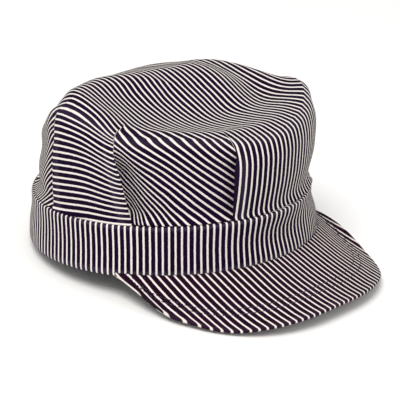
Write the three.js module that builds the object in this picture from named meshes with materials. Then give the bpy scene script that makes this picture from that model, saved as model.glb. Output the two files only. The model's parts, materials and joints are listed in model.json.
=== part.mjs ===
// Pleated eight-panel work cap with a round headband and a curved visor.
// Millimetres, +Z up, visor towards -Y. Angles in the tables run from the front centre
// towards the wearer's right (-X) and go once round the head.
import * as THREE from "three";

// Headband: its height is counted from the visor's seam, and its lip reaches below the seam
const bandWidth = 190.6;
const bandDepth = 179.4;
const bandHeight = 30;
const bandLip = 2.4;
const bandThickness = 3.2;
const bandEdgeRound = 0.6;

// Crown
const crownHeight = 71;
const crownThickness = 1.5;
const crownBaseInset = 1.4;
const pleatDepth = 2.2;
const pleatReachDegrees = 9;
const panelHollow = 1.6;

// Visor
const visorWidth = 180;
const visorReach = 49.5;
const visorDrop = 21;
const visorCornerDegrees = 70;
const visorBoardThickness = 2.6;
const visorUndersideThickness = 1;
const visorUndersideInset = 4;

// Shared fit
const seamGap = 0.3;

// How finely the curved faces are divided
const crownColumns = 76;
const bandColumns = 72;
const visorColumns = 44;

// Heights of the crown's shoulder and of its top, as shares of crownHeight above the band.
// The columns go inwards: shoulder, outer, middle, inner and core rings.
const topTable = [
  { at: 0, shoulder: 0.67, outer: 0.7, middle: 0.68, inner: 0.7, core: 0.79 },
  { at: 20, shoulder: 0.68, outer: 0.71, middle: 0.68, inner: 0.7, core: 0.79 },
  { at: 40, shoulder: 0.72, outer: 0.71, middle: 0.69, inner: 0.72, core: 0.8 },
  { at: 60, shoulder: 0.82, outer: 0.77, middle: 0.74, inner: 0.77, core: 0.82 },
  { at: 75, shoulder: 0.9, outer: 0.87, middle: 0.83, inner: 0.84, core: 0.86 },
  { at: 90, shoulder: 0.96, outer: 0.95, middle: 0.92, inner: 0.9, core: 0.9 },
  { at: 104, shoulder: 0.9, outer: 0.96, middle: 0.98, inner: 0.96, core: 0.93 },
  { at: 120, shoulder: 0.72, outer: 0.86, middle: 0.97, inner: 1.0, core: 0.95 },
  { at: 140, shoulder: 0.6, outer: 0.74, middle: 0.9, inner: 1.0, core: 0.97 },
  { at: 160, shoulder: 0.58, outer: 0.72, middle: 0.87, inner: 0.98, core: 0.98 },
  { at: 180, shoulder: 0.58, outer: 0.72, middle: 0.86, inner: 0.97, core: 0.98 },
  { at: 210, shoulder: 0.6, outer: 0.72, middle: 0.85, inner: 0.95, core: 0.96 },
  { at: 240, shoulder: 0.68, outer: 0.76, middle: 0.83, inner: 0.92, core: 0.93 },
  { at: 270, shoulder: 0.8, outer: 0.82, middle: 0.83, inner: 0.89, core: 0.9 },
  { at: 300, shoulder: 0.84, outer: 0.77, middle: 0.73, inner: 0.77, core: 0.83 },
  { at: 330, shoulder: 0.7, outer: 0.72, middle: 0.7, inner: 0.71, core: 0.8 },
];
const crownCentre = 0.9;

// Widest reach of the crown wall, as a share of the headband's radius.
const spreadTable = [
  { at: 0, spread: 1.0 },
  { at: 60, spread: 1.0 },
  { at: 90, spread: 1.0 },
  { at: 132, spread: 0.97 },
  { at: 180, spread: 0.98 },
  { at: 240, spread: 0.98 },
  { at: 270, spread: 1.0 },
  { at: 312, spread: 1.025 },
];

// Side view of the crown wall: height as a share of the shoulder's, reach of the spread.
const wallTable = [
  { up: 0.15, reach: 0.972 },
  { up: 0.35, reach: 0.985 },
  { up: 0.55, reach: 0.995 },
  { up: 0.75, reach: 1.0 },
  { up: 0.88, reach: 0.987 },
  { up: 0.96, reach: 0.963 },
  { up: 1.0, reach: 0.92 },
];
const ringReach = { shoulder: 0.92, outer: 0.8, middle: 0.62, inner: 0.4, core: 0.2 };
const topRows = [0.87, 0.8, 0.71, 0.62, 0.51, 0.4, 0.3, 0.2, 0.1];

// Pleats on each side of the head. The panel on the named side of the fold lies over the
// other one, and lean is how far the fold turns round the head on its way to the shoulder.
const pleatTable = [
  { at: 20.5, over: "front", lean: 1 },
  { at: 61, over: "back", lean: 6 },
  { at: 102, over: "front", lean: 0 },
  { at: 150, over: "back", lean: 0 },
];

// Outline of the visor from its middle to a corner. Wide is a share of half visorWidth, out
// of the way from the corners to the front, drop of visorDrop.
const outlineTable = [
  { along: 0, wide: 0, out: 1.0, drop: 0.81 },
  { along: 0.15, wide: 0.222, out: 0.994, drop: 0.83 },
  { along: 0.3, wide: 0.433, out: 0.957, drop: 0.88 },
  { along: 0.45, wide: 0.622, out: 0.878, drop: 0.95 },
  { along: 0.6, wide: 0.778, out: 0.754, drop: 1.0 },
  { along: 0.75, wide: 0.9, out: 0.574, drop: 0.86 },
  { along: 0.88, wide: 0.978, out: 0.334, drop: 0.45 },
  { along: 1, wide: 1.01, out: 0.05, drop: 0.06 },
];

// Fall of the visor from the headband to its edge, as a share of the edge's drop.
const fallTable = [
  { across: 0, fall: 0 },
  { across: 0.2, fall: 0.26 },
  { across: 0.4, fall: 0.5 },
  { across: 0.6, fall: 0.69 },
  { across: 0.8, fall: 0.85 },
  { across: 1, fall: 1 },
];

const radians = THREE.MathUtils.degToRad;
const bandA = bandWidth / 2;
const bandB = bandDepth / 2;

// A smooth curve through one column of a table, read at a place between its rows.
function readColumn(table, key, column, place) {
  let row = 0;
  while (row < table.length - 2 && table[row + 1][key] <= place) row += 1;
  const before = table[Math.max(row - 1, 0)];
  const from = table[row];
  const to = table[row + 1];
  const after = table[Math.min(row + 2, table.length - 1)];
  const span = to[key] - from[key];
  const share = THREE.MathUtils.clamp((place - from[key]) / span, 0, 1);
  const slopeFrom = ((to[column] - before[column]) / (to[key] - before[key])) * span;
  const slopeTo = ((after[column] - from[column]) / (after[key] - from[key])) * span;
  const cube = share * share * share;
  const square = share * share;
  return (
    (2 * cube - 3 * square + 1) * from[column] +
    (cube - 2 * square + share) * slopeFrom +
    (3 * square - 2 * cube) * to[column] +
    (cube - square) * slopeTo
  );
}

// A table that goes once round the head, with its last rows repeated before the first ones.
function wrapTable(table) {
  const ahead = table.slice(0, 3).map((row) => ({ ...row, at: row.at + 360 }));
  const behind = table.slice(-3).map((row) => ({ ...row, at: row.at - 360 }));
  return [...behind, ...table, ...ahead];
}
const topRound = wrapTable(topTable);
const spreadRound = wrapTable(spreadTable);

function ovalPoint(degrees, halfWidth, halfDepth) {
  return [-halfWidth * Math.sin(radians(degrees)), -halfDepth * Math.cos(radians(degrees))];
}

function aroundFront(degrees) {
  const wrapped = ((degrees % 360) + 360) % 360;
  return wrapped > 180 ? wrapped - 360 : wrapped;
}

// Sideways turn of a column at a share of the wall's height, read between the pleats.
function leanAt(degrees, up) {
  const signed = aroundFront(degrees);
  const rows = [{ at: 0, lean: 0 }, ...pleatTable, { at: 180, lean: 0 }];
  return Math.sign(signed) * up * readColumn(rows, "at", "lean", Math.abs(signed));
}

// How far the cloth stands out of the smooth wall beside the folds.
function pleatOffset(degrees, up) {
  const angle = Math.abs(aroundFront(degrees));
  const fade = 1 - THREE.MathUtils.smoothstep(up, 0.62, 0.97);
  let offset = 0;
  for (const pleat of pleatTable) {
    const past = angle - pleat.at;
    const over = pleat.over === "front" ? past < 0 : past > 0;
    const near = Math.exp(-Math.abs(past) / pleatReachDegrees);
    offset += (over ? 1 : -1) * pleatDepth * near * fade;
  }
  for (const [from, to] of [[20.5, 61], [102, 150]]) {
    if (angle > from && angle < to) {
      const across = (angle - from) / (to - from);
      offset -= panelHollow * Math.sin(Math.PI * across) * fade;
    }
  }
  return offset;
}

function topHeight(degrees, reach) {
  const rings = Object.entries(ringReach).map(([ring, at]) => ({
    at: -at,
    height: readColumn(topRound, "at", ring, degrees),
  }));
  rings.push({ at: 0, height: crownCentre });
  return readColumn(rings, "at", "height", -reach);
}

// One point of the crown's outer face. The inner face leaves the pleats out.
function crownPoint(degrees, row, pleated) {
  const turned = degrees + leanAt(degrees, row.up);
  const round = ((turned % 360) + 360) % 360;
  const spread = readColumn(spreadRound, "at", "spread", round);
  const shoulder = readColumn(topRound, "at", "shoulder", round);
  const share = row.onTop ? topHeight(round, row.reach) : shoulder * row.up;
  const [x, y] = ovalPoint(turned, bandA, bandB);
  const radius = Math.hypot(x, y);
  const inset = row.up === 0 ? (radius - crownBaseInset) / radius : spread * row.reach;
  const offset = row.onTop ? 0 : pleatOffset(degrees, row.up);
  const lift = row.up === 0 ? 0.35 : 1;
  const push = pleated ? offset * lift : -pleatDepth * (1 - row.up) * lift * 0.6;
  const scale = inset + push / radius;
  return new THREE.Vector3(
    x * scale,
    y * scale,
    bandHeight + seamGap + (crownHeight - seamGap) * share,
  );
}

function crownAngles() {
  const folds = pleatTable.flatMap((pleat) => [pleat.at, 360 - pleat.at]);
  const angles = folds.flatMap((fold) => [fold - 0.5, fold + 0.5]);
  for (let i = 0; i < crownColumns; i += 1) {
    const angle = (i * 360) / crownColumns;
    if (folds.every((fold) => Math.abs(fold - angle) > 2)) angles.push(angle);
  }
  return angles.sort((a, b) => a - b);
}

const crownRows = [
  { up: 0, reach: 1, onTop: false },
  ...wallTable.map((row) => ({ ...row, onTop: false })),
  ...topRows.map((reach) => ({ up: 1, reach, onTop: true })),
];

// A closed mesh from lists of points and triangles.
function meshFrom(name, points, triangles, material) {
  const geometry = new THREE.BufferGeometry();
  geometry.setAttribute(
    "position",
    new THREE.Float32BufferAttribute(points.flatMap((p) => [p.x, p.y, p.z]), 3),
  );
  geometry.setIndex(triangles);
  geometry.computeVertexNormals();
  const mesh = new THREE.Mesh(geometry, material);
  mesh.name = name;
  return mesh;
}

// Quads between two closed rings of points, given by their first indices.
function joinRings(triangles, lower, upper, count) {
  for (let i = 0; i < count; i += 1) {
    const next = (i + 1) % count;
    triangles.push(lower + i, upper + i, lower + next);
    triangles.push(upper + i, upper + next, lower + next);
  }
}

// Points of a face moved along its own normals, which a grid of neighbours gives.
function insetFace(grid, pole, distance) {
  const rows = grid.length;
  const columns = grid[0].length;
  return grid.map((row, r) =>
    row.map((point, c) => {
      const left = row[(c + columns - 1) % columns];
      const right = row[(c + 1) % columns];
      const below = grid[Math.max(r - 1, 0)][c];
      const above = r + 1 < rows ? grid[r + 1][c] : pole;
      const around = new THREE.Vector3().subVectors(right, left);
      const upwards = new THREE.Vector3().subVectors(above, below);
      const normal = new THREE.Vector3().crossVectors(upwards, around).normalize();
      if (r === 0) normal.setZ(0).normalize();
      return point.clone().addScaledVector(normal, -distance);
    }),
  );
}

function makeCrown(material) {
  const angles = crownAngles();
  const count = angles.length;
  const outer = crownRows.map((row) => angles.map((angle) => crownPoint(angle, row, true)));
  const smooth = crownRows.map((row) => angles.map((angle) => crownPoint(angle, row, false)));
  const top = bandHeight + seamGap + (crownHeight - seamGap) * crownCentre;
  const pole = new THREE.Vector3(0, 0, top);
  const inner = insetFace(smooth, pole, crownThickness);
  const innerPole = new THREE.Vector3(0, 0, top - crownThickness);
  const points = [...outer.flat(), ...inner.flat(), pole, innerPole];
  const triangles = [];
  const rows = crownRows.length;
  const innerStart = rows * count;
  for (let r = 0; r + 1 < rows; r += 1) {
    joinRings(triangles, r * count, (r + 1) * count, count);
    joinRings(triangles, innerStart + (r + 1) * count, innerStart + r * count, count);
  }
  joinRings(triangles, innerStart, 0, count);
  const poleIndex = 2 * rows * count;
  for (let i = 0; i < count; i += 1) {
    const next = (i + 1) % count;
    const last = (rows - 1) * count;
    triangles.push(last + i, poleIndex, last + next);
    triangles.push(innerStart + last + next, poleIndex + 1, innerStart + last + i);
  }
  return meshFrom("crown", points, triangles, material);
}

function makeBand(material) {
  const round = bandEdgeRound;
  const profile = [
    { inset: round, z: -bandLip },
    { inset: 0, z: round - bandLip },
    { inset: 0, z: bandHeight - round },
    { inset: round, z: bandHeight },
    { inset: bandThickness - round, z: bandHeight },
    { inset: bandThickness, z: bandHeight - round },
    { inset: bandThickness, z: round - bandLip },
    { inset: bandThickness - round, z: -bandLip },
  ];
  const points = [];
  for (const { inset, z } of profile) {
    for (let i = 0; i < bandColumns; i += 1) {
      const [x, y] = ovalPoint((i * 360) / bandColumns, bandA - inset, bandB - inset);
      points.push(new THREE.Vector3(x, y, z));
    }
  }
  const triangles = [];
  profile.forEach((_, r) => {
    joinRings(triangles, r * bandColumns, ((r + 1) % profile.length) * bandColumns, bandColumns);
  });
  return meshFrom("band", points, triangles, material);
}

// One point of the visor's upper face: along from -1 to 1, across from the headband to the
// rim.
function visorPoint(along, across, rimInset) {
  const cornerY = bandB * Math.cos(radians(visorCornerDegrees));
  const place = Math.abs(along);
  const wide = readColumn(outlineTable, "along", "wide", place) * (visorWidth / 2);
  const out = readColumn(outlineTable, "along", "out", place);
  const drop = readColumn(outlineTable, "along", "drop", place) * visorDrop;
  const rim = new THREE.Vector2(
    -Math.sign(along) * wide,
    -cornerY - (bandB + visorReach - cornerY) * out,
  );
  const degrees = visorCornerDegrees * along;
  const seam = new THREE.Vector2(...ovalPoint(degrees, bandA + seamGap, bandB + seamGap));
  const reach = across * Math.max(1 - rimInset / rim.distanceTo(seam), 0.5);
  const flat = seam.lerp(rim, reach);
  const fall = readColumn(fallTable, "across", "fall", reach);
  return new THREE.Vector3(flat.x, flat.y, -drop * fall);
}

// A sheet of even height below the visor's upper face.
function makeVisorLayer(name, depth, thickness, rimInset, material) {
  const acrossShares = [0, 0.1, 0.24, 0.4, 0.55, 0.7, 0.84, 0.94, 1];
  const columns = visorColumns + 1;
  const rows = acrossShares.length;
  const points = [];
  for (const level of [depth, depth + thickness]) {
    for (const across of acrossShares) {
      for (let i = 0; i < columns; i += 1) {
        const along = (2 * i) / visorColumns - 1;
        const point = visorPoint(along, across, rimInset);
        const tuckIn = across === 1 ? 0.35 * Math.min(thickness, 1) : 0;
        point.z -= level === depth ? level + tuckIn : level - tuckIn;
        points.push(point);
      }
    }
  }
  const triangles = [];
  const lowerStart = rows * columns;
  const quad = (a, b, c, d) => triangles.push(a, c, b, a, d, c);
  for (let r = 0; r + 1 < rows; r += 1) {
    for (let c = 0; c + 1 < columns; c += 1) {
      const corner = r * columns + c;
      quad(corner, corner + columns, corner + columns + 1, corner + 1);
      const under = lowerStart + corner;
      quad(under, under + 1, under + columns + 1, under + columns);
    }
  }
  for (let c = 0; c + 1 < columns; c += 1) {
    const rim = (rows - 1) * columns + c;
    quad(c, c + 1, lowerStart + c + 1, lowerStart + c);
    quad(rim + 1, rim, lowerStart + rim, lowerStart + rim + 1);
  }
  for (let r = 0; r + 1 < rows; r += 1) {
    const first = r * columns;
    const last = first + columns - 1;
    quad(first + columns, first, lowerStart + first, lowerStart + first + columns);
    quad(last, last + columns, lowerStart + last + columns, lowerStart + last);
  }
  return meshFrom(name, points, triangles, material);
}

function cloth(colour) {
  return new THREE.MeshStandardMaterial({ color: colour, roughness: 0.9, side: THREE.FrontSide });
}

const cap = new THREE.Group();
cap.name = "cap";
cap.add(makeCrown(cloth(0x3a3152)));
cap.add(makeBand(cloth(0x352c4b)));
cap.add(makeVisorLayer("visor_upper", 0, visorBoardThickness, 0, cloth(0x4a2f52)));
cap.add(
  makeVisorLayer(
    "visor_underside",
    visorBoardThickness + seamGap,
    visorUndersideThickness,
    visorUndersideInset,
    cloth(0x4a2f52),
  ),
);

// The cap stands on the low sides of its visor and on the back of its headband.
const heel = new THREE.Vector2(bandB - bandEdgeRound, -bandLip);
let tilt = 0;
for (const name of ["visor_upper", "visor_underside"]) {
  const position = cap.getObjectByName(name).geometry.getAttribute("position");
  for (let i = 0; i < position.count; i += 1) {
    const fall = heel.y - position.getZ(i);
    tilt = Math.max(tilt, Math.atan2(fall, heel.x - position.getY(i)));
  }
}
cap.rotation.x = -tilt;

const object = new THREE.Group();
object.name = "pleated_cap";
object.add(cap);
object.updateMatrixWorld(true);
const bounds = new THREE.Box3().setFromObject(object, true);
const centre = bounds.getCenter(new THREE.Vector3());
cap.position.set(-centre.x, -centre.y, -bounds.min.z);

export default object;
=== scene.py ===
"""A striped work cap: pleated crown, headband, curved visor and their stitching."""

import json

import bpy
import numpy as np
from mathutils import Matrix, Vector


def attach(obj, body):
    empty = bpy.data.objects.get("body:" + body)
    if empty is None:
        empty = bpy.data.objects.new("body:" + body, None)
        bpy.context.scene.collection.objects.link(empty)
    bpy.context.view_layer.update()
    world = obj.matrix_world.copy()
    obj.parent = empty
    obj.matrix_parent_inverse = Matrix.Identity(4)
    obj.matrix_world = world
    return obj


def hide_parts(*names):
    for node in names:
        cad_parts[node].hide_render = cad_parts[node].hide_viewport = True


bl_info = {
    "name": "Striped work cap",
    "version": (1, 0, 0),
    "blender": (4, 5, 0),
    "location": "View3D > Sidebar > Cap",
    "description": "Builds a pleated, striped work cap around its packed CAD model",
    "category": "Object",
}

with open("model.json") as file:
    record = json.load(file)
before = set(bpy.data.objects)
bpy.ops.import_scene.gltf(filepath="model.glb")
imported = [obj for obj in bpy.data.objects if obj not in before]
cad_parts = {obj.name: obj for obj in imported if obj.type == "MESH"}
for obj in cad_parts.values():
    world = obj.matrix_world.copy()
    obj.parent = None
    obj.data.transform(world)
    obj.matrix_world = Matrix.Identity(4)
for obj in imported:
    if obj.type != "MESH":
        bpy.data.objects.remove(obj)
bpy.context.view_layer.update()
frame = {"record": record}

# Named sizes in millimetres, the same as the solids have, and angles in degrees.
BAND_HALF_WIDTH = 95.3
BAND_HALF_DEPTH = 89.7
BAND_HEIGHT = 30.0
BAND_LIP = 2.4
BAND_THICKNESS = 3.2
CROWN_HEIGHT = 71.0
CROWN_CENTRE = 0.9
VISOR_HALF_WIDTH = 90.0
VISOR_REACH = 49.5
VISOR_DROP = 21.0
VISOR_CORNER = 70.0
SEAM_GAP = 0.3

# Sizes that only this scene has: the visor's turn on the head and its layers' thickness.
VISOR_TURN = 4.5
COVER_THICKNESS = 1.9
UNDERSIDE_THICKNESS = 1.0
UNDERSIDE_INSET = 4.0
RIM_ROLL = 0.25
STITCH_INSETS = (15.0, 20.0)
STITCH_LIFT = 0.08

# Shoulder and top heights by angle from the front centre towards the wearer's right, as
# shares of the crown's height: angle, shoulder, outer, middle, inner and core ring.
TOP_TABLE = np.array([
    (0, 0.68, 0.715, 0.69, 0.69, 0.78),
    (20, 0.71, 0.735, 0.695, 0.70, 0.775),
    (40, 0.75, 0.755, 0.725, 0.73, 0.79),
    (60, 0.755, 0.77, 0.765, 0.78, 0.82),
    (75, 0.885, 0.905, 0.855, 0.825, 0.86),
    (90, 0.93, 0.985, 0.945, 0.89, 0.90),
    (104, 0.85, 0.98, 1.0, 0.97, 0.94),
    (120, 0.66, 0.865, 0.985, 1.005, 0.975),
    (140, 0.54, 0.735, 0.90, 0.985, 0.985),
    (160, 0.50, 0.69, 0.86, 0.95, 0.985),
    (180, 0.53, 0.71, 0.865, 0.935, 0.98),
    (210, 0.57, 0.77, 0.905, 0.945, 0.975),
    (240, 0.64, 0.88, 0.91, 0.97, 0.955),
    (270, 0.76, 0.85, 0.825, 0.92, 0.91),
    (300, 0.85, 0.78, 0.72, 0.805, 0.845),
    (330, 0.74, 0.735, 0.705, 0.70, 0.80),
])
RING_REACH = (0.92, 0.80, 0.62, 0.40, 0.20)

# Widest reach of the crown's wall as a share of the headband's radius: angle, spread.
SPREAD_TABLE = np.array([
    (0, 1.0), (60, 1.0), (90, 1.0), (132, 0.97), (180, 0.98), (240, 0.98), (270, 0.98),
    (300, 0.97), (320, 0.97), (342, 0.985),
])

# Where the wall draws in, as shares of the radius: angle, at the foot, at the shoulder.
DRAW_TABLE = np.array([
    (0, 0.012, 0.0), (30, 0.004, 0.0), (60, 0.0, 0.0), (84, 0.0, 0.0), (97, 0.0, 0.035),
    (110, 0.010, 0.07), (130, 0.022, 0.065), (160, 0.010, 0.04), (200, 0.0, 0.035),
    (250, 0.0, 0.02), (280, 0.012, 0.0), (315, 0.026, 0.0), (338, 0.020, 0.0),
])

# Side view of the wall: share of the shoulder's height, share of the spread.
WALL_TABLE = np.array([
    (0.0, 0.986), (0.03, 0.975), (0.08, 0.970), (0.15, 0.973), (0.35, 0.985), (0.55, 0.995),
    (0.75, 1.0), (0.88, 0.987), (0.96, 0.963), (1.0, 0.92),
])

# Pleats on the wearer's right: angle, which panel lies over (-1 the front one, 1 the
# back one), lean in degrees, height of the fold and hollow beside it in millimetres, and
# the share of the wall's height at which it has opened out.
PLEAT_TABLE = (
    (16.0, -1, 0.5, 1.3, 4.6, 0.99),
    (57.0, 1, 7.0, 1.6, 8.0, 0.93),
    (93.5, -1, -2.0, 1.3, 3.6, 0.86),
    (150.0, 1, 0.0, 1.3, 3.0, 0.99),
)

FRONT_FOLD, SIDE_FOLD, REAR_FOLD, BACK_FOLD = (row[0] for row in PLEAT_TABLE)

# The crown sits twisted, so the pleats on the wearer's left lie further back.
LEFT_ANGLES = (46.0, 84.0, 117.0, 156.0)
PLEATS = {
    1: PLEAT_TABLE,
    -1: tuple((at, *row[1:]) for at, row in zip(LEFT_ANGLES, PLEAT_TABLE)),
}

# Visor outline from its middle to a corner: share of the way, width, reach and drop.
OUTLINE_TABLE = np.array([
    (0.0, 0.0, 1.0, 0.81),
    (0.15, 0.222, 0.994, 0.83),
    (0.3, 0.433, 0.957, 0.88),
    (0.45, 0.622, 0.878, 0.95),
    (0.6, 0.778, 0.754, 1.0),
    (0.75, 0.9, 0.574, 0.86),
    (0.88, 0.978, 0.334, 0.45),
    (1.0, 1.01, 0.05, 0.06),
])
FALL_TABLE = np.array([(0, 0), (0.2, 0.26), (0.4, 0.5), (0.6, 0.69), (0.8, 0.85), (1, 1)])


def read_curve(table, column, places):
    """Smooth values of one table column at the given places of its first column."""
    places = np.asarray(places, float)
    keys = table[:, 0].astype(float)
    values = table[:, column].astype(float)
    row = np.clip(np.searchsorted(keys, places, side="right") - 1, 0, len(keys) - 2)
    before = np.maximum(row - 1, 0)
    after = np.minimum(row + 2, len(keys) - 1)
    span = keys[row + 1] - keys[row]
    share = np.clip((places - keys[row]) / span, 0, 1)
    slope_from = (values[row + 1] - values[before]) / (keys[row + 1] - keys[before]) * span
    slope_to = (values[after] - values[row]) / (keys[after] - keys[row]) * span
    cube, square = share**3, share**2
    return (
        (2 * cube - 3 * square + 1) * values[row]
        + (cube - 2 * square + share) * slope_from
        + (3 * square - 2 * cube) * values[row + 1]
        + (cube - square) * slope_to
    )


def wrap_table(table):
    """The same table going round the head, with rows repeated past both ends."""
    behind, ahead = table[-3:].copy(), table[:3].copy()
    behind[:, 0] -= 360
    ahead[:, 0] += 360
    return np.vstack([behind, table, ahead])


TOP_ROUND = wrap_table(TOP_TABLE)
SPREAD_ROUND = wrap_table(SPREAD_TABLE)
DRAW_ROUND = wrap_table(DRAW_TABLE)


def smooth_step(low, high, value):
    share = np.clip((value - low) / (high - low), 0, 1)
    return share * share * (3 - 2 * share)


def around_front(angle):
    return (np.asarray(angle, float) + 180) % 360 - 180


def lean_at(angle, up):
    """Turn of a column round the head at a share of the wall's height."""
    signed = around_front(angle)
    lean = np.zeros_like(signed)
    for side, pleats in PLEATS.items():
        table = np.array([(0, 0), *((row[0], row[2]) for row in pleats), (180, 0)])
        here = signed * side > 0
        lean = np.where(here, side * up * read_curve(table, 1, np.abs(signed)), lean)
    return lean


def cap_to_row(points):
    """Points of the cap's own frame in millimetres, set in the row frame in metres."""
    mount = frame["record"]["mounts"][0]
    axis = Vector(mount["axis"])
    tilt = np.arctan2(-axis.y, -axis.z)
    heel = np.array([0, BAND_HALF_DEPTH - BAND_THICKNESS / 2, -BAND_LIP])
    turn = np.array(Matrix.Rotation(-tilt, 3, "X"))
    return (np.asarray(points) - heel) @ turn.T / 1000 + np.array(mount["pos_m"])


def top_share(angle, reach):
    """Height of the crown's top inside the shoulder, as a share of the crown's height."""
    angle, reach = np.broadcast_arrays(angle, reach)
    knots = np.array([*(-ring for ring in RING_REACH), 0.0])
    out = np.empty(angle.shape)
    for place in np.ndindex(angle.shape):
        heights = [read_curve(TOP_ROUND, ring + 1, angle[place]) for ring in range(5)]
        column = np.column_stack([knots, [*heights, CROWN_CENTRE]])
        out[place] = read_curve(column, 1, -reach[place])
    return out


# Degrees on either side of a fold's line that its section takes up.
FOLD_SPAN = 3.4

# One pleat in section, from the panel that lies over to the one beneath: degrees past the
# fold line, share of the opened cloth, and offset in millimetres from the over panel's face
# (first value) or as a share of the hollow (second value).
FOLD_SECTION = (
    (-FOLD_SPAN, 0.00, 0.00, 0.00),
    (-1.7, 0.08, 0.00, 0.00),
    (-0.4, 0.16, -0.02, 0.00),
    (0.35, 0.24, -0.12, 0.00),
    (0.85, 0.32, -0.45, 0.00),
    (1.0, 0.38, -0.95, 0.00),
    (0.8, 0.44, -1.4, 0.00),
    (0.2, 0.50, -1.65, 0.00),
    (-1.4, 0.56, -1.8, 0.05),
    (-2.9, 0.62, -1.9, 0.25),
    (-3.3, 0.67, -1.9, 0.55),
    (-2.7, 0.72, -1.9, 0.85),
    (-1.2, 0.78, -1.9, 1.00),
    (0.6, 0.84, -1.9, 1.00),
    (1.8, 0.92, -1.8, 1.00),
    (FOLD_SPAN, 1.00, -1.3, 0.96),
)


def crown_columns():
    """Columns round the head: opened angle, folded angle, offset and panel number.

    The panels count from 0 at the front to 4 at the back, and are negative on the
    wearer's left. A pleat's hidden layers belong to the panel whose cloth they are.
    """
    right = [(o, f, d, p, 1) for o, f, d, p in half_columns(PLEATS[1])]
    left = [(360 - o, 360 - f, d, p, -1) for o, f, d, p in reversed(half_columns(PLEATS[-1]))]
    return [(0.0, 0.0, 0.0, 0, 1), *right, (180.0, 180.0, 0.0, 4, 1), *left]


def half_columns(pleats):
    """Columns of one side, from the front centre to the back."""
    half = []
    span = FOLD_SPAN
    for number in range(len(pleats) + 1):
        low = pleats[number - 1][0] + span if number else 0.0
        high = pleats[number][0] - span if number < len(pleats) else 180.0
        count = max(int(round((high - low) / 1.5)), 2)
        for angle in np.linspace(low, high, count + 1)[1:-1]:
            half.append((angle, angle, 0.0, number))
        if number == len(pleats):
            break
        at, over, _, height, hollow, _ = pleats[number]
        section = []
        for degrees, opened, drop, share in FOLD_SECTION:
            depth = height + drop - share * hollow
            if over < 0:
                section.append((degrees, opened, depth, number + (opened > 0.6)))
            else:
                section.insert(0, (-degrees, 1 - opened, depth, number + (opened < 0.6)))
        for degrees, opened, depth, panel in section:
            half.append((at - span + 2 * span * opened, at + degrees, depth, panel))
    return half


def pleat_swell(angle):
    """Rise of the panels that lie over and hollow of those beneath, away from the folds."""
    signed = around_front(angle)
    swell = np.zeros_like(signed)
    _, _, step_down, hollow_share = FOLD_SECTION[-1]
    for side, pleats in PLEATS.items():
        for at, over, _, height, hollow, _ in pleats:
            past = around_front(signed * side - at) * over
            beyond = np.maximum(np.abs(past) - FOLD_SPAN, 0)
            above = height * np.exp(-beyond / 9)
            beneath = (height + step_down - hollow_share * hollow) * np.exp(-beyond / 6)
            swell += np.where(past > 0, above, beneath)
    return swell


def panel_angle(angle):
    """Angle on the wearer's right that lies at the same place between its pleats."""
    signed = around_front(angle)
    places = [0, *LEFT_ANGLES, 180]
    same = [0, *(row[0] for row in PLEAT_TABLE), 180]
    return np.where(signed < 0, np.interp(-signed, places, same), np.abs(signed))


# Depth in millimetres to which the panels between these folds sink in their middle.
PANEL_SINK = 1.2
SUNKEN_PANELS = ((FRONT_FOLD, SIDE_FOLD), (REAR_FOLD, BACK_FOLD))


def crown_surface(columns, ups, reaches):
    """Outer face of the crown as a grid of points, and its cloth coordinates."""
    opened = np.array([column[0] for column in columns])
    folded = np.array([column[1] for column in columns])
    depth = np.array([column[2] for column in columns])
    panel = np.array([column[3] for column in columns])
    side = np.array([column[4] for column in columns])
    in_fold = depth != 0.0
    gone = np.interp(
        panel_angle(opened), [row[0] for row in PLEAT_TABLE], [row[5] for row in PLEAT_TABLE]
    )
    rows = []
    cloth = []
    for up in ups:
        fade = 1 - smooth_step(gone - 0.39, gone, up)
        angle = around_front(opened) + (around_front(folded) - around_front(opened)) * fade
        turned = angle + lean_at(angle, up)
        round_angle = turned % 360
        spread = read_curve(SPREAD_ROUND, 1, round_angle)
        shoulder = read_curve(TOP_ROUND, 1, round_angle)
        reach = read_curve(WALL_TABLE, 1, up)
        radians = np.radians(turned)
        x, y = -BAND_HALF_WIDTH * np.sin(radians), -BAND_HALF_DEPTH * np.cos(radians)
        radius = np.hypot(x, y)
        foot = 1 - smooth_step(0.0, 0.12, up)
        wide = 1 + (spread - 1) * (1 - foot)
        swell = np.where(in_fold, depth, pleat_swell(angle))
        away = panel_angle(angle)
        hollow = np.zeros_like(away)
        for low, high in SUNKEN_PANELS:
            inside = (away > low) & (away < high) & ~in_fold
            across = np.clip((away - low) / (high - low), 0, 1)
            hollow -= np.where(inside, PANEL_SINK * np.sin(np.pi * across), 0)
        push = (swell + hollow) * fade * (1 - 0.72 * foot)
        waist = read_curve(DRAW_ROUND, 1, round_angle) * (1 - smooth_step(0.03, 0.45, up))
        draw = read_curve(DRAW_ROUND, 2, round_angle) * smooth_step(0.12, 0.75, up)
        scale = wide * reach - waist - draw + push / radius
        z = BAND_HEIGHT + SEAM_GAP * 0.5 + (CROWN_HEIGHT - SEAM_GAP) * shoulder * up
        rows.append(np.column_stack([x * scale, y * scale, z]))
        cloth.append(angle)
    for reach in reaches:
        angle = around_front(opened)
        turned = angle + lean_at(angle, 1.0)
        round_angle = turned % 360
        spread = read_curve(SPREAD_ROUND, 1, round_angle)
        spread = spread - read_curve(DRAW_ROUND, 2, round_angle)
        share = top_share(round_angle, np.full_like(angle, reach))
        radians = np.radians(turned)
        x, y = -BAND_HALF_WIDTH * np.sin(radians), -BAND_HALF_DEPTH * np.cos(radians)
        z = BAND_HEIGHT + SEAM_GAP * 0.5 + (CROWN_HEIGHT - SEAM_GAP) * share
        rows.append(np.column_stack([x * spread * reach, y * spread * reach, z]))
    grid = np.array(rows)
    return grid, wall_cloth(grid, ups, reaches, cloth, panel, side)


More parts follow.
